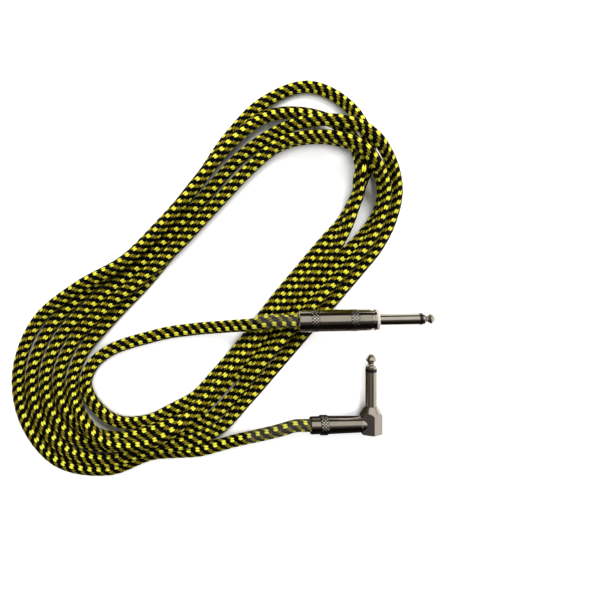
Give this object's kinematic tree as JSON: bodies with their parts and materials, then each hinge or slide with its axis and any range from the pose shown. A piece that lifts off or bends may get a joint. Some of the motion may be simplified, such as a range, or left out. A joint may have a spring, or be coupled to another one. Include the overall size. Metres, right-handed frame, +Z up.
{
  "type": "instrument cable",
  "caption": "Braided instrument cable lying coiled, with a straight plug on one end and a right-angle plug on the other, each with a barrel that unscrews back over the cord.",
  "frame": {"origin": "on the plane that the cord lies on, under the middle of the box round the two plugs", "axes": "+X along the straight plug towards its tip (turned 1 degree), +Y along the right-angle plug's finger towards its tip, +Z up"},
  "size_m": [0.2299, 0.2182, 0.0235],
  "materials": {
    "nickel": "polished nickel plate",
    "nickel_shell": "polished nickel plate with a warm tone, knurled bands",
    "cast_elbow": "matt plated zinc die casting",
    "black_insulator": "glossy moulded nylon",
    "ivory_insulator": "matt moulded nylon",
    "brown_insulator": "matt pressed fibre",
    "tinned_brass": "tinned stamped brass",
    "solder": "dull solder",
    "core_insulation": "smooth insulation",
    "copper": "twisted bare copper",
    "jacket": "matt black rubber",
    "clear_shrink": "clear heat-shrink tube",
    "braid": "woven yarn in yellow and black over the jacket"
  },
  "bodies": {
    "cable": {"straight_tip": "nickel", "straight_band": "black_insulator", "straight_sleeve": "nickel", "straight_washer": "ivory_insulator", "straight_rear_washer": "brown_insulator", "straight_tip_lug": "tinned_brass", "straight_ground_clamp": "tinned_brass", "straight_tip_solder": "solder", "straight_ground_solder": "solder", "straight_core_wire": "core_insulation", "straight_screen": "copper", "straight_jacket": "jacket", "straight_shrink": "clear_shrink", "angled_tip": "nickel", "angled_band": "black_insulator", "angled_sleeve": "nickel", "angled_elbow": "cast_elbow", "angled_bush": "ivory_insulator", "angled_tip_lug": "tinned_brass", "angled_ground_clamp": "tinned_brass", "angled_tip_solder": "solder", "angled_ground_solder": "solder", "angled_core_wire": "core_insulation", "angled_screen": "copper", "angled_jacket": "jacket", "angled_shrink": "clear_shrink", "straight_lead": "braid", "coil": "braid", "angled_lead": "braid"},
    "straight_liner": {"straight_liner": "ivory_insulator"},
    "straight_barrel": {"straight_barrel": "nickel_shell"},
    "angled_liner": {"angled_liner": "ivory_insulator"},
    "angled_barrel": {"angled_barrel": "nickel_shell"}
  },
  "joints": [
    {"name": "straight_barrel_back", "type": "slide", "parent": "cable", "child": "straight_liner", "axis": [-0.9998, -0.0175, 0], "range_m": [0, 0.006]},
    {"name": "straight_barrel_turn", "type": "hinge", "parent": "straight_liner", "child": "straight_barrel", "pos_m": [0.0059, 0.0288, 0.0175], "axis": [-0.9998, -0.0175, 0], "range_deg": [0, 2160]},
    {"name": "angled_barrel_back", "type": "slide", "parent": "cable", "child": "angled_liner", "axis": [-0.9962, 0, 0.0872], "range_m": [0, 0.006]},
    {"name": "angled_barrel_turn", "type": "hinge", "parent": "angled_liner", "child": "angled_barrel", "pos_m": [0.0047, -0.0296, 0.0062], "axis": [-0.9962, 0, 0.0872], "range_deg": [0, 2160]}
  ],
  "couplings": [
    {"joint": "straight_barrel_back", "follows": "straight_barrel_turn", "m_per_rad": 0.00015915},
    {"joint": "angled_barrel_back", "follows": "angled_barrel_turn", "m_per_rad": 0.00015915}
  ]
}
